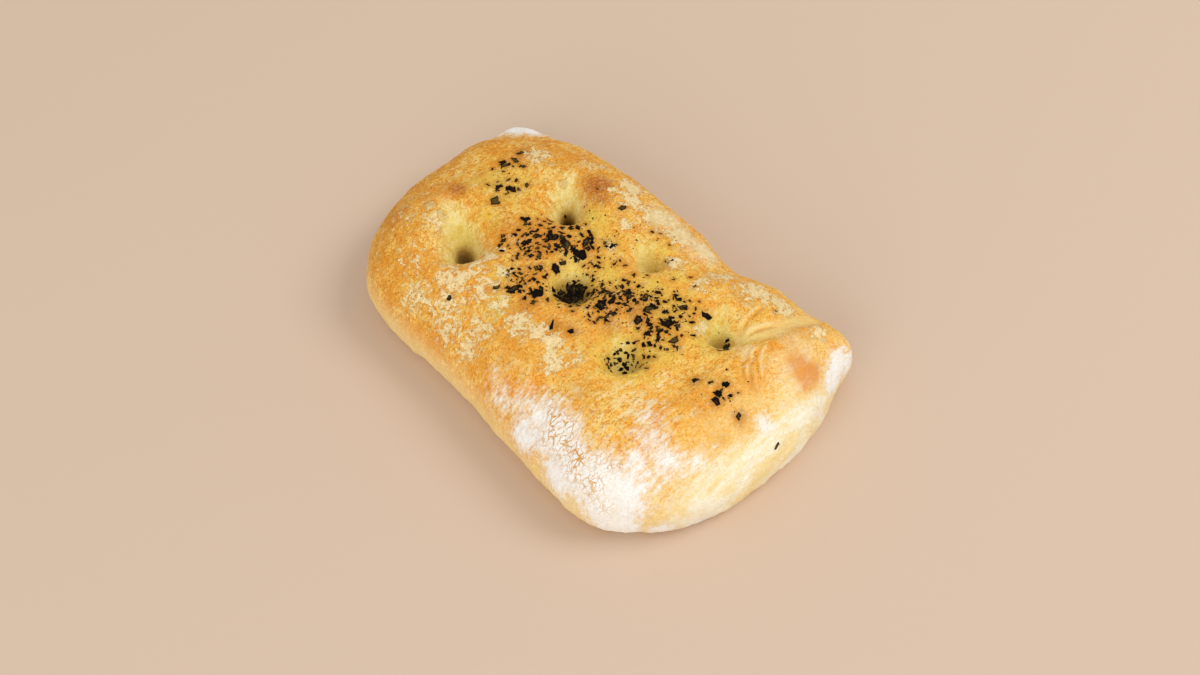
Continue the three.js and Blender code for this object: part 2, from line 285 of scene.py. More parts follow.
def new_piece(name, points, faces):
    """A smooth mesh object from points in millimetres."""
    mesh = bpy.data.meshes.new(name)
    mesh.from_pydata((np.asarray(points) * MM).tolist(), [], faces)
    mesh.shade_smooth()
    piece = bpy.data.objects.new(name, mesh)
    scene.collection.objects.link(piece)
    return piece


def mesh_points(mesh):
    flat = np.empty(len(mesh.vertices) * 3)
    mesh.vertices.foreach_get("co", flat)
    return flat.reshape(-1, 3) / MM


def mesh_normals(mesh):
    flat = np.empty(len(mesh.vertices) * 3)
    mesh.vertex_normals.foreach_get("vector", flat)
    return flat.reshape(-1, 3)


def lumps(points, size):
    """Even noise between about -1 and 1, with lumps of a size in millimetres."""
    return np.array([noise.noise(Vector(point)) for point in points / size])


# relief that the hands, the fold and the oven leave: lumps, fibres pulled across the loaf, fine folds
# beside the creases, and blisters that burst in the heat
LUMPS = [(24, 0.7), (9, 0.5), (4, 0.3), (2, 0.17)]  # size, height
FIBRES = [(3.2, 0.22), (1.6, 0.12)]
FIBRE_STRETCH = np.array([1, 0.35, 0.5])
FINE_FOLDS = [  # paths in plan
    [(67, 27), (70, 24.5), (72.5, 20.5), (75, 15.5), (79.5, 11.5), (84, 8.5)],
    [(69, 29), (71, 26.5), (74, 23.5), (76.5, 18.5), (80.5, 15), (84.5, 12), (88, 8.5)],
    [(71.5, 32), (73.5, 26.5), (77, 21.5), (81.5, 18), (86, 13.5)],
    [(60.5, 28.5), (59.5, 34.5), (59, 40.5), (59, 46.5)],
    [(63.5, 27.5), (65, 34), (66.5, 39), (69, 45.5)],
]
FOLD_DEPTH = 0.42
FOLD_WIDTH = 0.9
FOLD_WANDER = 0.4
FOLD_WANDER_SIZE = 12
FOLD_FADE_IN = (0, 0.2)  # shares of a fold's path
FOLD_FADE_OUT = (1, 0.7)
RIDGE_HEIGHT = 0.6  # share of the fold's depth
RIDGE_ASIDE = 2  # fold widths
BURST_BLISTERS = [  # x, y, radius
    (-78, -24, 3.2),
    (-72.5, -23.5, 2.4),
    (-50, 28, 2.6),
    (-67, 30, 2),
    (-61, 31, 2),
]
BLISTER_SEED = 311
BLISTERS = 90
BLISTER_RADIUS = (0.9, 2.4)
BLISTER_CROWDING = 2
BLISTER_HEIGHT = 0.4  # of the widest
BASE_CLEAR = 2.0  # height over which the relief fades out above the base
DICE_FACTOR = 48271  # the solid's draws are made with the same two numbers
DICE_LIMIT = 2147483647


def dice(seed):
    """Even draws between 0 and 1, the same ones for the same seed."""
    state = seed
    while True:
        state = state * DICE_FACTOR % DICE_LIMIT
        yield state / DICE_LIMIT


def drawn_between(limits, draw, crowding=1):
    """A draw between two limits, crowded towards the first of them by a power above 1."""
    first, last = limits
    return first + (last - first) * next(draw) ** crowding


def blister_places():
    yield from BURST_BLISTERS
    draw = dice(BLISTER_SEED)
    for _ in range(BLISTERS):
        x = drawn_between((-HALF_LENGTH, HALF_LENGTH), draw)
        y = drawn_between((-HALF_WIDTH, HALF_WIDTH), draw)
        yield x, y, drawn_between(BLISTER_RADIUS, draw, BLISTER_CROWDING)


def burst_share(plan, x, y, radius):
    """1 in the middle of a blister, falling to 0 at its rim."""
    return np.clip(1 - (np.linalg.norm(plan - np.array([x, y]), axis=1) / radius) ** 2, 0, 1)


def fold_share(points):
    """-1 along the fine folds, above zero on the low ridge beside each, and 0 away from them."""
    plan = points[:, :2]
    wander = FOLD_WANDER * lumps(points, FOLD_WANDER_SIZE)
    share = np.zeros(len(plan))
    for path in FINE_FOLDS:
        off, run = beside_path(plan, path)
        aside = (off + wander) / FOLD_WIDTH
        present = smooth(*FOLD_FADE_IN, run) * smooth(*FOLD_FADE_OUT, run)
        share += present * (RIDGE_HEIGHT * bell(aside - RIDGE_ASIDE) - bell(aside))
    return np.clip(share, -1, 1)


def baked_relief(points):
    relief = sum(height * lumps(points, size) for size, height in LUMPS)
    relief += sum(height * lumps(points * FIBRE_STRETCH, size) for size, height in FIBRES)
    relief += FOLD_DEPTH * fold_share(points)
    for x, y, radius in blister_places():
        height = BLISTER_HEIGHT * radius / max(BLISTER_RADIUS)
        relief += height * burst_share(points[:, :2], x, y, radius)
    return relief * np.clip(points[:, 2] / BASE_CLEAR, 0, 1)


loaf = new_piece("turkish_bread", *loaf_surface())
smooth_points = mesh_points(loaf.data)
baked_points = smooth_points + mesh_normals(loaf.data) * baked_relief(smooth_points)[:, None]
loaf.data.vertices.foreach_set("co", (baked_points * MM).ravel())
loaf.data.update()

# where the crust is browned, tanned, oiled, thinly dusted, strained, thickly floured, cracked and pale:
# x, y, z, reach and strength of soft spots, then stretches along the loaf and down its side
BROWNED = [
    (-77, -10, 43, 6.5, 1.1),
    (-84, -14, 40, 7, 0.55),
    (-37, 37, 42, 8, 1.3),
    (-31, 33, 42, 7, 0.9),
    (-61, 1, 41, 12, 0.4),
    (-48, -7, 40, 10, 0.62),
    (-27, -6, 42, 13, 0.65),
    (-20, -16, 41, 10, 0.5),
    (-10, 12, 41, 10, 0.5),
    (16, 1, 41, 14, 0.68),
    (24, 3, 42, 7, 0.8),
    (-77, 4, 41, 7, 0.6),
    (26, -11, 41, 7, 0.85),
    (14, -25, 42, 9, 0.6),
    (-7, -31, 42, 8, 0.6),
    (4, -18, 40, 6, 0.6),
    (92, -2, 38, 8, 0.6),
    (93, -14, 37, 7, 0.5),
    (33, 1, 42, 13, 0.75),
    (82, -10, 43, 14, 0.4),
    (77, 4, 42, 8, 0.4),
    (-91, -37, 31, 16, 0.5),
    (-78, -55, 29, 14, 0.35),
    (6, -47, 39, 16, 0.45),
    (40, -42, 40, 12, 0.5),
    (51, 40, 41, 9, 0.5),
    (-80, 46, 33, 16, 0.25),
    (-60, 44, 36, 12, 0.35),
    (72, 33, 38, 7, 0.3),
]
TANNED = [
    (88, 35.5, 38.5, 7.5, 0.9),
    (92, 34.5, 36.5, 7.5, 0.95),
    (96, 34, 34.5, 6.5, 0.9),
    (93, 38, 34, 7, 1),
    (-78, -15, 42, 7, 0.45),
    (84, 12, 41, 7, 0.5),
    (80, 38, 40, 9, 0.45),
    (78, 48, 38, 8, 0.5),
]
OILED = [
    (-67, 6, 41, 16, 0.9),
    (-58, -10, 41, 11, 0.75),
    (-60, -22, 33, 7, 1.2),
    (-46, 5, 40, 10, 0.55),
    (-29, -25, 41, 8, 0.85),
    (-16, -38, 41, 9, 0.75),
    (-22, 21, 41, 12, 0.85),
    (-27, 23, 41, 8, 1.1),
    (-10, 20, 41, 10, 0.7),
    (-5, -6, 32, 16, 1.3),
    (-10, -2, 40, 14, 0.9),
    (3, 4, 40, 14, 1.0),
    (19, 14, 41, 14, 0.9),
    (34, 14, 40, 14, 1.0),
    (40, -15, 34, 17, 1.3),
    (46, -4, 40, 13, 1.0),
    (54, 17, 36, 15, 1.0),
    (66, 29, 37, 9, 0.8),
    (71, 42, 37, 7, 0.5),
    (6, 30, 38, 12, 0.8),
    (22, 26, 40, 12, 0.7),
]
DUSTED = [
    (-41, -42, 39, 12, 0.72),
    (-38, -34, 41, 8, 0.7),
    (-47, -37, 41, 6, 0.7),
    (-40, -22, 39, 4.5, 0.9),
    (-41, -29, 39, 4.5, 0.9),
    (-39, -17, 41, 3.5, 0.5),
    (-28, -37, 40, 10, 0.66),
    (-48, -56, 32, 11, 0.6),
    (-34, -52, 35, 12, 0.72),
    (-26, -58, 30, 9, 0.65),
    (-29, -25, 41, 6, 0.62),
    (-16, -38, 41, 7, 0.7),
    (-3, -38, 42, 7, 0.8),
    (6, -35, 42, 6, 0.85),
    (14, -35, 42, 6, 0.9),
    (21, -41, 40, 6, 0.95),
    (27, -34, 41, 6, 0.6),
    (-15, -50, 36, 10, 0.58),
    (-13, -58, 31, 9, 0.65),
    (-30, 40, 41, 8, 0.5),
    (-71, -28, 40, 8, 0.6),
    (-72, 31, 39, 9, 0.68),
    (-22, 44, 39, 8, 0.8),
    (-13, 32, 41, 5, 0.7),
    (-10, 47, 37, 9, 0.88),
    (4, 48, 36, 9, 0.88),
    (16, 52, 33, 8, 0.86),
    (-30, 50, 36, 10, 0.8),
    (-50, 46, 37, 9, 0.5),
    (-9, 19, 41, 4, 0.6),
    (16, 33, 40, 6, 0.8),
    (49, 17, 39, 6, 0.62),
    (33, 33, 41, 6, 0.65),
    (50, 48, 38, 11, 0.8),
    (60, 54, 35, 9, 0.8),
    (34, 44, 38, 10, 0.65),
    (80, 55, 36, 7, 0.7),
    (-86, -30, 37, 14, 0.42),
    (-62, -47, 35, 12, 0.42),
]
STRAINED = [
    (52, -32, 41, 13, 0.78),
    (58, -16, 41, 11, 0.68),
    (66, -28, 41, 11, 0.8),
    (54, -46, 38, 9, 0.6),
    (74, 10, 42, 8, 0.6),
    (70, 22, 40, 7, 1.1),
    (64, -34, 40, 8, 0.9),
    (76, 30, 38, 9, 0.5),
]
FLOURED = [
    (8, -60, 30, 8, 0.3),
    (14, -62, 27, 9, 0.45),
    (25, -60, 31, 10, 0.5),
    (36, -58, 33, 10, 0.8),
    (33, -65, 25, 10, 0.85),
    (46, -60, 32, 11, 1.2),
    (59, -64, 28, 11, 1.2),
    (56, -68, 24, 10, 1.1),
    (71, -61, 28, 13, 1.15),
    (80, -61, 24, 14, 1.25),
    (84, -63, 13, 11, 1.25),
    (86, -60, 6, 8, 1.2),
    (84, -51, 31, 11, 0.64),
    (87, -37, 35, 9, 0.64),
    (78, -47, 36, 8, 0.64),
    (95, -27, 34, 8, 0.5),
    (77, -37, 39, 10, 0.55),
    (68, -30, 41, 9, 0.38),
    (98, 6, 33, 5, 0.6),
    (102, 33, 20, 8, 0.5),
    (95, 50, 22, 7, 1.3),
    (92, 56, 24, 6, 1.2),
    (93, 62, 18, 8, 0.9),
    (-104, 46, 21, 8, 1.15),
    (-98, 52, 21, 8, 1.15),
    (-109, 40, 18, 8, 1),
    (-91, 58, 18, 10, 0.6),
    (-111, 31, 16, 11, 0.55),
    (-102, 48, 10, 12, 0.62),
    (102, -33, 5, 7, 1.0),
    (96, -48, 7, 7, 0.9),
]
CRACKED = [
    (33, -53, 36, 8, 0.65),
    (42, -53, 36, 8, 1.5),
    (47, -58, 32, 9, 1.4),
    (58, -60, 31, 9, 1),
    (62, -61, 26, 8, 0.8),
    (70, -61, 26, 9, 0.8),
    (80, -64, 22, 7, 0.5),
    (64, -53, 36, 8, 1),
    (71, -52, 36, 7, 0.9),
]
PALED = [
    (83, 33, 39, 17, 0.4),
    (95, 30, 30, 18, 0.5),
    (60, -68, 14, 18, 0.4),
    (-5, 50, 35, 14, 0.48),
    (14, 51, 34, 12, 0.48),
]
LIGHT_END = (64, 102)
PALE_END = (88, 107)
PALE_SIDE = (28, 9)


def zone(points, spots):
    """Soft overlapping spots, together no stronger than the strongest of them."""
    field = np.zeros(len(points))
    for at_x, at_y, at_z, reach, strength in spots:
        away = np.linalg.norm(points - np.array([at_x, at_y, at_z]), axis=1)
        field = np.maximum(field, strength * bell(away / reach))
    return field


def keep_on_mesh(piece, name, values):
    values = np.asarray(values, np.float32)
    kind, field = ("FLOAT", "value") if values.ndim == 1 else ("FLOAT_VECTOR", "vector")
    layer = piece.data.attributes.new(name, kind, "POINT")
    layer.data.foreach_set(field, values.ravel())


STREAK_LENGTH = 30.0
DIMPLES_APART = 9  # sets the noise round each dimple apart from its neighbour's
PULLED_FARTHER = 1.45  # how much farther the far side's dough is drawn than the funnel reaches
FULLY_PULLED = 16  # depth at which a dimple draws its dough fully thin
TINY = 1e-6


def round_dimples(plan):
    """Places turned about the nearest dimple, so that noise laid on them runs down into it."""
    around = np.zeros((len(plan), 3))
    strongest = np.zeros(len(plan))
    for number, dimple in enumerate(DIMPLES):
        off = plan - np.array([dimple.x, dimple.y])
        away = np.linalg.norm(off, axis=1)
        share = funnel_share(plan, dimple)
        ray = off / np.maximum(away, TINY)[:, None]
        coordinates = np.column_stack([ray + DIMPLES_APART * number, away / STREAK_LENGTH])
        around = np.where((share > strongest)[:, None], coordinates, around)
        strongest = np.maximum(strongest, share)
    return around


def pulled_share(plan, dimple):
    """How far the dough is drawn thin towards a dimple, most by the deepest ones."""
    depth = dimple.hole_depth + dimple.funnel_depth
    return funnel_share(plan, dimple, PULLED_FARTHER) * min(1, depth / FULLY_PULLED)


def painted_hole_shade_share(plan, dimple, shade):
    """How dark the painted shade in a dimple's hole is, standing in for the shade deep in the hole and
    reaching a little up the far wall.
    """
    dark, *aside = shade
    return dark * hole_share(plan - np.array(aside), dimple)


plan = smooth_points[:, :2]
keep_on_mesh(loaf, "browned", zone(smooth_points, BROWNED))
keep_on_mesh(loaf, "tanned", zone(smooth_points, TANNED))
keep_on_mesh(loaf, "oiled", zone(smooth_points, OILED))
keep_on_mesh(loaf, "dusted", zone(smooth_points, DUSTED))
keep_on_mesh(loaf, "strained", zone(smooth_points, STRAINED))
keep_on_mesh(loaf, "floured", zone(smooth_points, FLOURED))
keep_on_mesh(loaf, "cracked", zone(smooth_points, CRACKED))
keep_on_mesh(loaf, "pale", np.maximum(smooth(*PALE_END, plan[:, 0]), zone(smooth_points, PALED)))
keep_on_mesh(loaf, "low", smooth(*PALE_SIDE, smooth_points[:, 2]))
keep_on_mesh(loaf, "light", np.maximum(smooth(*LIGHT_END, plan[:, 0]), zone(smooth_points, PALED)))
keep_on_mesh(loaf, "stretched", np.max([pulled_share(plan, dimple) for dimple in DIMPLES], 0))
# painted shade in the dimples' holes
keep_on_mesh(loaf, "deep", np.max([painted_hole_shade_share(plan, *each) for each in zip(DIMPLES, PAINTED_HOLE_SHADES)], 0))
keep_on_mesh(loaf, "burst", np.max([burst_share(plan, *blister) for blister in BURST_BLISTERS], 0))
keep_on_mesh(loaf, "creased", crease_share(plan, KNOB_CREASE))
keep_on_mesh(loaf, "folded", fold_share(smooth_points))
keep_on_mesh(loaf, "around", round_dimples(plan))

NOISE_MIDDLE = 0.5
MIX_FACTOR, MIX_UNDER, MIX_OVER, MIX_RESULT = 0, 6, 7, 2  # a Mix node's sockets for colours


class Wire:
    """An output of a shader node. Arithmetic with wires adds Math nodes to their material."""

    def __init__(self, tree, socket):
        self.tree = tree
        self.socket = socket

    def node(self, kind, settings, sockets, output=0):
        """Any other node: its settings come first, then the values or wires of its sockets."""
        made = self.tree.nodes.new(kind)
        for name, value in settings.items():
            setattr(made, name, value)
        for name, value in sockets.items():
            if isinstance(value, Wire):
                self.tree.links.new(value.socket, made.inputs[name])
            else:
                made.inputs[name].default_value = value
        return Wire(self.tree, made.outputs[output])

    def maths(self, operation, *terms):
        return self.node("ShaderNodeMath", {"operation": operation}, dict(enumerate(terms)))

    def __add__(self, other):
        return self.maths("ADD", self, other)

    def __sub__(self, other):
        return self.maths("SUBTRACT", self, other)

    def __rsub__(self, other):
        return self.maths("SUBTRACT", other, self)

    def __mul__(self, other):
        return self.maths("MULTIPLY", self, other)

    __radd__ = __add__
    __rmul__ = __mul__

    def attribute(self, name, output="Fac"):
        return self.node("ShaderNodeAttribute", {"attribute_name": name}, {}, output)

    def vector(self, operation, other):
        return self.node("ShaderNodeVectorMath", {"operation": operation}, {0: self, 1: other})

    def cloud(self, size, detail=4.0, roughness=0.55, swirl=0.0, output="Fac"):
        """Noise whose spots have a size in millimetres, from this wire's place."""
        sockets = {"Vector": self, "Scale": 1 / (size * MM), "Detail": detail, "Roughness": roughness}
        return self.node("ShaderNodeTexNoise", {}, sockets | {"Distortion": swirl}, output)

    def grain(self, *shape, **more):
        """The same noise as a value about zero."""
        return self.cloud(*shape, **more) - NOISE_MIDDLE

    def cracks(self, size):
        """How far a place is from the edges of cells of a size in millimetres, as a share of that size."""
        sockets = {"Vector": self, "Scale": 1 / (size * MM)}
        return self.node("ShaderNodeTexVoronoi", {"feature": "DISTANCE_TO_EDGE"}, sockets, "Distance")

    def step(self, low, high):
        """0 below low, 1 above high, and a soft rise between them."""
        sockets = {"Value": self, "From Min": low, "From Max": high}
        return self.node("ShaderNodeMapRange", {"interpolation_type": "SMOOTHSTEP"}, sockets)

    def paint(self, under, over):
        """The colour under, painted over as far as this wire goes from 0 to 1. Either may be a code."""
        under, over = [colour(c) if isinstance(c, str) else c for c in (under, over)]
        sockets = {MIX_FACTOR: self, MIX_UNDER: under, MIX_OVER: over}
        return self.node("ShaderNodeMix", {"data_type": "RGBA"}, sockets, MIX_RESULT)

    def into(self, shader, name):
        self.tree.links.new(self.socket, shader.inputs[name])


def colour(code):
    """A colour as a screen shows it, such as #e2a850, made linear for a shader."""
    shares = [int(code[i:i + 2], 16) / 255 for i in (1, 3, 5)]
    return (*[s / 12.92 if s < 0.04045 else ((s + 0.055) / 1.055) ** 2.4 for s in shares], 1.0)


def new_finish(name):
    """A material, its surface shader, and a wire of the place on the piece."""
    material = bpy.data.materials.new(name)
    material.use_nodes = True
    tree = material.node_tree
    coordinates = tree.nodes.new("ShaderNodeTexCoord")
    return material, tree.nodes["Principled BSDF"], Wire(tree, coordinates.outputs["Object"])


# colours of the crust; a pair is mottled from its first to its second
DARKER_GOLD = ("#e38f28", "#f4a034")  # at the browned end, at the pale end
LIGHTER_GOLD = ("#f5b846", "#ffca5c")
LIGHT_END_GOLD = ("#f9c566", "#ffe2a0")
BROWNED_CRUST = "#bb661f"
OILED_CRUST = "#ebcb56"
HERB_STAIN = "#ac620e"
DARK_GAP = "#bb6a16"
LIGHT_FLECK = ("#f9d27c", "#f0d054")  # dry, oiled
DARK_SPECK = "#b4620f"
LIGHT_SPECK = "#f9cb66"
STRETCHED_DOUGH = ("#dfc258", "#f6e69e")
OILED_DOUGH = "#e4c54e"
# painted shade deeper in the dimples' funnels
FUNNEL_SHADE_OLIVE = "#c6a240"
CREASED_DOUGH = "#f8dc90"
# painted shade in the fine folds' grooves and a painted highlight on their ridges
FOLD_GROOVE_SHADE = "#c67f28"
FOLD_RIDGE_HIGHLIGHT = "#fce6ac"
# painted shade in the dimples' holes, on the wall and at the bottom
HOLE_WALL_SHADE = "#a67c2b"
HOLE_BOTTOM_SHADE = "#3f270d"
LOW_SIDE = "#f8df9f"
CREAM = ("#fce2a2", "#fff9e0")
TANNED_CRUST = "#e58f34"
STRAINED_DOUGH = "#fae2a4"
BLISTER_RIM = "#a8752f"
BLISTER_MIDDLE = "#e6c888"
DUST_HAZE = "#efd08f"
DUST = ("#ecc982", "#fae4b0")
FLOUR_HAZE = "#fdeed6"
FLOUR = ("#faf0de", "#fffefa")
FLOUR_CRACK = "#dc9c38"

# how closely noise is set along x, y and z: the smaller, the longer it is drawn out, as the dough was
PULLED = (1.0, 0.7, 0.8)
STRANDS = (1.0, 0.16, 0.3)
STREAKS = (1.0, 0.22, 0.4)
VEINS = (1.0, 0.35, 0.45)
PLATES = (1.0, 0.5, 0.6)

RADIAL_SPOT = 170  # thousandths of a ray, so streaks about 10 degrees wide
GOLD_TURNS = (-100 * MM, 90 * MM)  # where along the loaf the gold changes
CRACK_WANDER = 1.2 * MM
CRACK_CELL = 2.3
CRUST_BUMP = 0.9
CRUST_ROUGHNESS = 0.62
MATT_SPECULAR = 0.1


def crust_grains(place):
    """The noise that all layers of the crust share, from broad patches to the finest specks."""
    pulled = place.vector("MULTIPLY", PULLED)
    return SimpleNamespace(
        broad=place.grain(16, 3),
        patchy=place.grain(5, 6, 0.62),
        dashes=pulled.grain(1.2, 3, 0.6, swirl=0.9),
        specks=pulled.grain(0.75, 2, 0.6, swirl=0.6),
        fine=place.grain(0.8, 2),
        strands=place.vector("MULTIPLY", STRANDS).grain(3.5, 4, 0.6),
        streaks=place.vector("MULTIPLY", STREAKS).grain(1.5, 4, 0.65),
        radial=place.attribute("around", "Vector").grain(RADIAL_SPOT, 3, 0.6),
    )


def golden_crust(place, grain):
    """Golden crust, browned on the cushions, oily and stained round the herbs, and how oily it is."""
    broad, patchy, dashes, specks = grain.broad, grain.patchy, grain.dashes, grain.specks
    along = place.node("ShaderNodeSeparateXYZ", {}, {"Vector": place}, "X").step(*GOLD_TURNS)
    mottle = (broad * 0.25 + patchy * 0.35 + dashes * 0.3 + grain.fine * 0.1).step(-0.11, 0.11)
    gold = mottle.paint(along.paint(*DARKER_GOLD), along.paint(*LIGHTER_GOLD))
    light = (place.attribute("light") + broad * 0.5 + patchy * 0.4).step(0.2, 0.9)
    gold = (light * 0.75).paint(gold, dashes.step(-0.08, 0.08).paint(*LIGHT_END_GOLD))
    browned = (place.attribute("browned") + patchy * 0.9 + dashes * 0.9).step(0.15, 1.15)
    gold = browned.paint(gold, BROWNED_CRUST)
    oiled = (place.attribute("oiled") + patchy * 1.3 + dashes * 0.6).step(0.15, 1.1)
    gold = (oiled * 0.78).paint(gold, OILED_CRUST)
    stained = (place.attribute("stained") + patchy * 0.7).step(0.1, 0.9)
    gold = (stained * 0.52).paint(gold, HERB_STAIN)
    gaps = (broad * 0.3 - dashes).step(0.08, 0.13)
    gold = (gaps * (0.42 - light * 0.3)).paint(gold, DARK_GAP)
    flecks = (dashes + broad * 0.5 + patchy * 0.5).step(0.07, 0.11)
    bright = flecks * (0.75 - oiled * 0.3) * (1 - browned * 0.8) * (1 - stained * 0.8)
    gold = bright.paint(gold, oiled.paint(*LIGHT_FLECK))
    dark_specks = (0 - specks).step(0.07, 0.13) * (0.42 - light * 0.25)
    gold = dark_specks.paint(gold, DARK_SPECK)
    light_specks = specks.step(0.06, 0.12) * (1 - stained * 0.6) * 0.46
    return light_specks.paint(gold, LIGHT_SPECK), oiled


def dimpled_dough(place, grain, gold, oiled):
    """The crust with pale dough drawn down into the dimples, painted shade in their holes and deeper in
    their funnels, creases, and fine folds with painted shade and highlights.
    """
    patchy, dashes, radial = grain.patchy, grain.dashes, grain.radial
    stretched = place.attribute("stretched")
    drawn = stretched - place.attribute("browned") * 0.25
    slope = (drawn + radial * 0.25 + patchy * 0.6 + dashes * 0.4).step(0.05, 0.62)
    dough = (radial * 0.4 + patchy * 0.3 + dashes * 0.3).step(-0.12, 0.1).paint(*STRETCHED_DOUGH)
    gold = (slope * 0.85).paint(gold, (oiled * 0.5).paint(dough, OILED_DOUGH))
    # painted shade: the dough deeper in each funnel is darkened towards olive
    gold = ((stretched + radial * 0.4).step(0.45, 1.05) * 0.38).paint(gold, FUNNEL_SHADE_OLIVE)
    creased = (place.attribute("creased") + grain.strands).step(0.3, 0.9)
    gold = (creased * 0.6).paint(gold, CREASED_DOUGH)
    # painted shade along the fine folds and painted highlights on the low ridges beside them
    folded = place.attribute("folded") + patchy * 0.5
    gold = ((0 - folded).step(0.2, 0.9) * 0.5).paint(gold, FOLD_GROOVE_SHADE)
    gold = (folded.step(0.12, 0.5) * 0.5).paint(gold, FOLD_RIDGE_HIGHLIGHT)
    # painted shade in the holes, darkest at the bottom
    hole_shade_mask = place.attribute("deep") + patchy * 0.25 + radial * 0.15
    gold = (hole_shade_mask.step(0.06, 0.5) * 0.85).paint(gold, HOLE_WALL_SHADE)
    return (hole_shade_mask.step(0.3, 0.85) * 0.95).paint(gold, HOLE_BOTTOM_SHADE)


def pale_crust(place, grain, gold):
    """The crust with its pale low sides and pale end, tanned spots, strained strands and burst blisters."""
    dashes, strands = grain.dashes, grain.strands
    gold = (place.attribute("low") * 0.8).paint(gold, LOW_SIDE)
    bare = place.attribute("pale") - place.attribute("browned") * 0.7
    pale = (bare + grain.broad * 0.5 + dashes * 0.35).step(0.1, 0.85)
    cream = (strands * 0.75 + dashes * 0.25).step(-0.1, 0.1).paint(*CREAM)
    gold = (pale * 0.96).paint(gold, cream)
    tanned = (place.attribute("tanned") + grain.patchy * 0.9 + dashes * 0.7).step(0.15, 1.0)
    gold = (tanned * 0.85).paint(gold, TANNED_CRUST)
    lines = strands * 1.8 + grain.streaks * 1.4 + dashes * 0.6
    strained = (place.attribute("strained") + lines).step(0.62, 0.86)
    gold = (strained * 0.6).paint(gold, STRAINED_DOUGH)
    burst = place.attribute("burst") + dashes * 0.6
    gold = (burst.step(0.05, 0.4) * 0.3).paint(gold, BLISTER_RIM)
    return (burst.step(0.3, 0.75) * 0.5).paint(gold, BLISTER_MIDDLE)


def dusted_crust(place, grain, gold):
    """The crust under a thin lace of flour dust, and where the dust is."""
    dust = place.attribute("dusted")
    gold = ((dust + grain.patchy * 0.6).step(0.15, 0.9) * 0.07).paint(gold, DUST_HAZE)
    web = 0.5 - place.maths("ABSOLUTE", place.grain(8, 5, 0.6) * 7)
    lace = place.grain(2.6, 6, 0.75)
    dusted = (dust + web * 0.35 + lace * 2.1 + grain.dashes).step(0.54, 0.62)
    return (dusted * 0.9).paint(gold, grain.fine.step(-0.2, 0.1).paint(*DUST)), dusted


def floured_crust(place, grain, gold):
    """The crust under thick flour, streaky at its edges and cracked where the dough rose, and the flour."""
    patchy, dashes = grain.patchy, grain.dashes
    floured = place.attribute("floured") + grain.streaks * 1.3 + patchy * 0.5 + dashes * 0.4
    flour = floured.step(0.34, 0.74) * 0.97
    thin = (floured.step(0.05, 0.55) * 0.55).paint(gold, FLOUR_HAZE)
    powder = (patchy * 0.5 + grain.fine * 0.5).step(-0.15, 0.1).paint(*FLOUR)
    opened = (place.attribute("cracked") + patchy * 0.8).step(0.1, 0.9)
    veins = place.maths("ABSOLUTE", place.vector("MULTIPLY", VEINS).grain(3.2, 3, 0.6))
    split = (1 - veins.step(0.004, 0.026)) * (patchy + dashes).step(-0.1, 0.0)
    wander = place.cloud(2.5, 3, 0.6, output="Color").vector("MULTIPLY", (CRACK_WANDER,) * 3)
    plates = place.vector("MULTIPLY", PLATES).vector("ADD", wander)
    crazed = (1 - plates.cracks(CRACK_CELL).step(0.025, 0.095)) * (patchy + dashes).step(-0.14, -0.04)
    cracked = place.maths("MAXIMUM", split, crazed) * opened * flour
    return cracked.paint(flour.paint(thin, powder), FLOUR_CRACK), floured, flour


def crust_finish():
    material, surface, place = new_finish("baked_crust")
    grain = crust_grains(place)
    gold, oiled = golden_crust(place, grain)
    gold = dimpled_dough(place, grain, gold, oiled)
    gold = pale_crust(place, grain, gold)
    gold, dusted = dusted_crust(place, grain, gold)
    tint, floured, flour = floured_crust(place, grain, gold)
    roughness = CRUST_ROUGHNESS - oiled * 0.2 + flour * 0.3
    height = grain.fine * 0.4 + grain.dashes * 0.7 + grain.patchy * 0.6 + grain.strands * 0.3
    height = height + floured.step(0.0, 1.0) * 0.3 + dusted * 0.12
    bump = place.node("ShaderNodeBump", {}, {"Strength": CRUST_BUMP, "Distance": MM, "Height": height})
    tint.into(surface, "Base Color")
    roughness.into(surface, "Roughness")
    bump.into(surface, "Normal")
    surface.inputs["Specular IOR Level"].default_value = MATT_SPECULAR
    return material


loaf.data.materials.append(crust_finish())
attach(loaf, "root")
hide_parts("loaf")

# Herb flakes: dried leaf, crumbled and strewn on the oiled dough before baking, scorched nearly black.
# The largest are the chips that are grown on the solid, in the same places, as thin curled leaf.
LARGE_FLAKES = [  # x, y, length, width, turn in degrees
    (-77.5, 28, 7, 3, 84),
    (-75, 15.5, 5.5, 2.5, 61),
    (-61, -1.5, 6, 5, 114),
    (-44.5, 1.5, 4.8, 4, 23),
    (-27.5, 2.5, 6.8, 3.5, 42),
    (-34, -8, 5, 3.5, 17),
    (-21, 4, 6, 4, 114),
    (-14, 6, 7, 5.5, 12),
    (-17, 12, 7, 3, 109),
    (-18, -28, 7.5, 3.5, 84),
    (-10, -22, 6, 5, 61),
    (-15, -7, 5, 4, -4),
    (13, -6, 6.5, 5.5, 138),
    (14.5, -1.5, 5.5, 3, 114),
    (16.5, 6, 7.5, 2.5, 126),
    (29, 6, 6.5, 4.5, 95),
    (38.5, 7, 7, 5, 17),
    (45, 23.5, 6.3, 3.5, 14),
    (37, 18.5, 5, 3.5, 35),
    (30, -1, 5, 4, 138),
    (47, 3.5, 6.4, 3, 84),
    (68, -4, 5.5, 3, 35),
    (79.5, -2.5, 4, 3.5, 73),
    (81.5, -6, 5, 3.5, -9),
    (78, 3, 4, 3.5, 100),
    (91, -2, 3.8, 3, 138),
    (-21, 36.5, 4, 3, 73),
    (7.5, -29, 6.4, 1.8, 130),
    (15, -25, 3.5, 2.6, 73),
    (-36, -48.5, 3, 2.6, 138),
    (105.5, 6.5, 4.2, 1.6, 122),
]
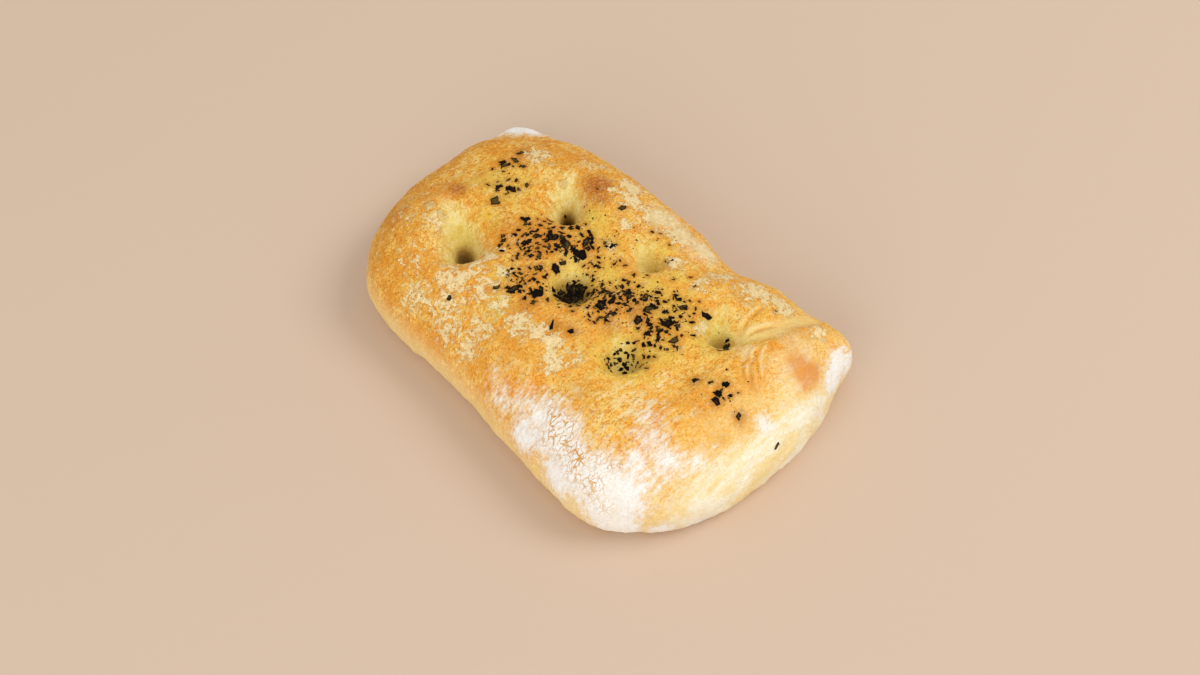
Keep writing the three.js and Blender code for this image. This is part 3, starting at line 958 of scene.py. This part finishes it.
FLAKE_ZONES = [  # x, y, reach along and across, how many, the longest
    (-68, 12, 10, 9, 6, 2.8),
    (-40, 21, 1.5, 1.5, 2, 3.5),
    (-33, -1, 12, 9, 14, 3.2),
    (-20, 9, 12, 8, 12, 3.2),
    (-14, -24, 10, 7, 5, 2.8),
    (-4, -8, 3.5, 6.5, 16, 4.2),
    (14, 1, 7, 7, 8, 3.2),
    (27, 7, 12, 11, 16, 3.6),
    (41, 8, 8, 9, 9, 3.4),
    (40, 21, 7, 5, 4, 3),
    (36.5, -16.5, 4.5, 8, 12, 3.8),
    (62, 18, 2, 2, 2, 3.6),
    (80, -1, 10, 6, 4, 2.6),
    (4, 38, 8, 2, 2, 2.8),
    (62, 48, 0, 0, 1, 2.8),
]
FLAKE_SEED = 20417
FLAKE_CORNERS = 5
FLAKE_LENGTHS = (1, 0.5)  # shares of the longest in a zone
GOLDEN_ANGLE = math.radians(137.508)
TURN_JITTER = 0.5
CORNER_JITTER = 0.6
LEAF_SEED = 977
LEAF_WIDTHS = (0.4, 0.8)  # shares of a chip's length
LEAF_THICKNESS = 0.3
LEAF_SUNK = 0.2
LEAF_CURL = 0.7  # height of the curl of a chip that reaches as far as the next value
CURLED_REACH = 3
CURL_RANGE = (0.3, 1.3)
TORN_EDGE = (0.82, 1.12)
INNER_RING = 0.55  # share of the way out from the middle
INNER_MIDDLE = 0.7  # how worn the inner ring is, where the middle is 1 and the edge 0
BLACKENED = "#0d0905"
SCORCHED = ("#54240f", "#55451f")  # brown, green
HERB_ROUGHNESS = 0.85
UP = Vector((0, 0, 1))

crust_tree = bvhtree.BVHTree.FromObject(loaf, bpy.context.evaluated_depsgraph_get())


def crust_under(x, y):
    """The point of the crust under a place in plan, in millimetres, and the way it faces."""
    point, normal, *_ = crust_tree.ray_cast(Vector((x, y, 2 * CROWN_HEIGHT)) * MM, -UP)
    return np.array(point) / MM, normal


def chip_places(large, zones, draw):
    """Where each chip lies, its size and its turn: the large ones, then each zone from its middle out."""
    for x, y, length, width, turn in large:
        yield x, y, length, width, math.radians(turn)
    for x, y, along, across, count, longest in zones:
        for k in range(count):
            toward = GOLDEN_ANGLE * (k + TURN_JITTER * next(draw))
            out = math.sqrt((k + next(draw)) / count)
            length = longest * drawn_between(FLAKE_LENGTHS, draw)
            width = length * drawn_between(LEAF_WIDTHS, draw)
            turn = 2 * math.pi * next(draw)
            at_x = x + along * out * math.cos(toward)
            at_y = y + across * out * math.sin(toward)
            yield at_x, at_y, length, width, turn


def chip_rim(length, width, corners, draw):
    turns = [2 * math.pi * (corner + CORNER_JITTER * next(draw)) / corners for corner in range(corners)]
    return np.array([(length / 2 * math.cos(t), width / 2 * math.sin(t)) for t in turns])


def leaf_chip(rim, draw):
    """A thin curled chip of leaf: its points, how near the middle each of them counts, and its faces."""
    middles = (rim + np.roll(rim, -1, 0)) / 2
    torn = np.array([drawn_between(TORN_EDGE, draw) for _ in middles])
    edge = np.stack([rim, middles * torn[:, None]], 1).reshape(-1, 2)
    reach = np.linalg.norm(edge, axis=1).max()
    lean = math.pi * next(draw)
    curl = LEAF_CURL * drawn_between(CURL_RANGE, draw) * reach / CURLED_REACH
    flat = np.concatenate([edge, edge * INNER_RING, [[0, 0]]])
    across = flat @ ray_points(lean, 1) / reach
    height = curl * across**2 - LEAF_SUNK
    top = np.column_stack([flat, height + LEAF_THICKNESS])
    bottom = np.column_stack([flat, height])
    count = len(edge)
    middle = np.concatenate([np.zeros(count), np.full(count, INNER_MIDDLE), [1]])
    under = len(flat)
    faces = []
    for i in range(count):
        j = (i + 1) % count
        faces += [(i, j, count + j, count + i), (count + i, count + j, 2 * count)]
        faces += [(under + j, under + i, under + count + i, under + count + j)]
        faces += [(under + count + j, under + count + i, under + 2 * count)]
        faces += [(i, under + i, under + j, j)]
    return np.concatenate([top, bottom]), np.tile(middle, 2), faces


def strewn_piece(name, places, draw, corners):
    """All the chips of one kind as one mesh laid on the crust, and where each lies with its length."""
    shaping = dice(LEAF_SEED)
    points, faces, middles, tones, spots = [], [], [], [], []
    count = 0
    for x, y, length, width, turn in places:
        place, normal = crust_under(x, y)
        chip, middle, chip_faces = leaf_chip(chip_rim(length, width, corners, draw), shaping)
        lie = UP.rotation_difference(normal).to_matrix()
        cos, sin = math.cos(turn), math.sin(turn)
        turned = np.array(lie) @ np.array([[cos, -sin, 0], [sin, cos, 0], [0, 0, 1]])
        points.append(chip @ turned.T + place)
        middles.append(middle)
        faces += [[count + i for i in face] for face in chip_faces]
        tones += [next(shaping)] * len(chip)
        spots.append((*place, length))
        count += len(chip)
    piece = new_piece(name, np.concatenate(points), faces)
    piece.data.shade_flat()
    keep_on_mesh(piece, "tone", tones)
    keep_on_mesh(piece, "middle", np.concatenate(middles))
    return piece, spots


def herb_finish():
    material, surface, place = new_finish("scorched_herb")
    tone = place.attribute("tone")
    worn = (tone * 0.7 + place.attribute("middle") * 0.5 + place.grain(0.9) * 1.4).step(0.55, 1.15)
    leaf = worn.paint(BLACKENED, tone.step(0.35, 0.65).paint(*SCORCHED))
    leaf.into(surface, "Base Color")
    surface.inputs["Roughness"].default_value = HERB_ROUGHNESS
    surface.inputs["Specular IOR Level"].default_value = MATT_SPECULAR
    return material


scorched_herb = herb_finish()
flake_draw = dice(FLAKE_SEED)
flake_places = chip_places(LARGE_FLAKES, FLAKE_ZONES, flake_draw)
flakes, flake_spots = strewn_piece("herb_flakes", flake_places, flake_draw, FLAKE_CORNERS)
flakes.data.materials.append(scorched_herb)
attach(flakes, "root")

# Herb crumbs: the fine dust of the same dried leaf, fallen between the flakes and packed into the
# dimples, too small to be part of the solid.
CRUMB_SEED = 6113
CRUMB_CORNERS = 4
CRUMB_ZONES = [  # x, y, reach along and across, how many, the longest
    (-69, 10, 12, 12, 12, 2.6),
    (-73, 17, 4, 5, 7, 5.5),
    (-65, 6, 7, 8, 10, 5),
    (-38, 0, 8, 8, 20, 4),
    (-37, -13, 7, 5, 14, 3.7),
    (-30, -5, 10, 9, 36, 4.4),
    (-23, 1, 9, 8, 31, 4.4),
    (-17, 7, 9, 8, 38, 4.4),
    (-27, 15, 9, 5, 17, 3.5),
    (-11, 13, 8, 8, 15, 3.1),
    (-10, 21, 4, 4, 9, 3.1),
    (-1, 13, 4, 4, 10, 3.6),
    (-4, 6, 4, 4, 6, 3.2),
    (4, -16, 5, 4, 12, 3.4),
    (-20, -17, 10, 8, 33, 3.7),
    (-14, -24, 11, 8, 55, 4),
    (-4.5, -9, 3.5, 6.5, 143, 5.5),
    (-3, -6, 12, 11, 76, 2.3),
    (6, -2, 7, 7, 46, 3.7),
    (14, 2, 9, 9, 43, 3.5),
    (19, 11, 9, 8, 40, 3.5),
    (16, -9, 7, 6, 43, 3.7),
    (28, 5, 12, 11, 44, 3.5),
    (37, 15, 9, 8, 34, 3.5),
    (40, 1, 9, 9, 58, 3.7),
    (36, -19, 4.5, 8, 34, 3.1),
    (40, -13, 4, 4, 5, 3.5),
    (45, -10, 6, 6, 15, 2.9),
    (62, 17, 3, 3, 8, 2.4),
    (58.5, 23, 1.6, 1.6, 6, 4.8),
    (72, -4, 12, 5, 13, 2),
    (82, -3, 9, 6, 15, 2.4),
    (8, 30, 26, 14, 28, 2.2),
    (-18, 30, 18, 10, 17, 2.2),
    (0, 0, 66, 34, 33, 1.6),
]
ZONE_SPREAD = 1.35
CRUMB_LENGTHS = (0.2, 1.0)  # shares of the longest in a zone
CRUMB_CROWDING = 2
STAINING_LENGTH = 1.6
STAIN_REACH = 1.2


def crumb_places(zones, draw):
    """Crumbs strewn over each zone, thinning out from its middle, with their sizes and turns."""
    for x, y, along, across, count, longest in zones:
        for _ in range(count):
            aside_x = ZONE_SPREAD * along * (next(draw) + next(draw) - 1)
            aside_y = ZONE_SPREAD * across * (next(draw) + next(draw) - 1)
            length = longest * drawn_between(CRUMB_LENGTHS, draw, CRUMB_CROWDING)
            width = length * drawn_between(LEAF_WIDTHS, draw)
            yield x + aside_x, y + aside_y, length, width, 2 * math.pi * next(draw)


crumb_draw = dice(CRUMB_SEED)
crumbs_at = crumb_places(CRUMB_ZONES, crumb_draw)
crumbs, crumb_spots = strewn_piece("herb_crumbs", crumbs_at, crumb_draw, CRUMB_CORNERS)
crumbs.data.materials.append(scorched_herb)
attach(crumbs, "root")

# the crust is stained brown round the flakes and the larger crumbs
large_crumbs = [spot for spot in crumb_spots if spot[-1] > STAINING_LENGTH]
stains = [(x, y, z, STAIN_REACH + length / 2, 1) for x, y, z, length in flake_spots + large_crumbs]
keep_on_mesh(loaf, "stained", zone(smooth_points, stains))

# Floor: a plain pale sheet that the loaf lies on, matt like paper. It is wide enough to fill the picture
# from any side.
FLOOR_HALF = 3.0
FLOOR_CORNERS = [(-1, -1), (1, -1), (1, 1), (-1, 1)]
FLOOR_COLOUR = "#d7bea7"
floor_mesh = bpy.data.meshes.new("floor")
corners = [(x * FLOOR_HALF, y * FLOOR_HALF, 0) for x, y in FLOOR_CORNERS]
floor_mesh.from_pydata(corners, [], [range(len(corners))])
floor = bpy.data.objects.new("floor", floor_mesh)
scene.collection.objects.link(floor)
floor_finish, floor_surface, _ = new_finish("plain_floor")
floor_surface.inputs["Base Color"].default_value = colour(FLOOR_COLOUR)
floor_surface.inputs["Roughness"].default_value = 1.0
floor_surface.inputs["Specular IOR Level"].default_value = 0.0
floor_mesh.materials.append(floor_finish)

# Light: a soft lamp high beyond the far corner of the pale end, a larger one low before the floured side,
# and an even white sky that fills the shadows.
LAMP_DISTANCE = 2.5
SKY_STRENGTH = 0.6


def soft_lamp(name, toward, high, size, power):
    """A square lamp that faces the loaf from a direction in plan and a height, both in degrees."""
    toward, high = math.radians(toward), math.radians(high)
    lamp = bpy.data.objects.new(name, bpy.data.lights.new(name, "AREA"))
    lamp.data.energy = power
    lamp.data.size = size
    facing = Vector((math.cos(toward) * math.cos(high), math.sin(toward) * math.cos(high), math.sin(high)))
    lamp.location = LAMP_DISTANCE * facing
    lamp.rotation_euler = facing.to_track_quat("Z", "Y").to_euler()
    scene.collection.objects.link(lamp)


soft_lamp("soft_lamp", toward=54, high=48, size=1.2, power=24)
soft_lamp("low_lamp", toward=-64, high=26, size=2.0, power=29)
sky = bpy.data.worlds.new("studio")
sky.use_nodes = True
sky.node_tree.nodes["Background"].inputs["Strength"].default_value = SKY_STRENGTH
sky.node_tree.nodes["Background"].inputs["Color"].default_value = (1, 1, 1, 1)
scene.world = sky
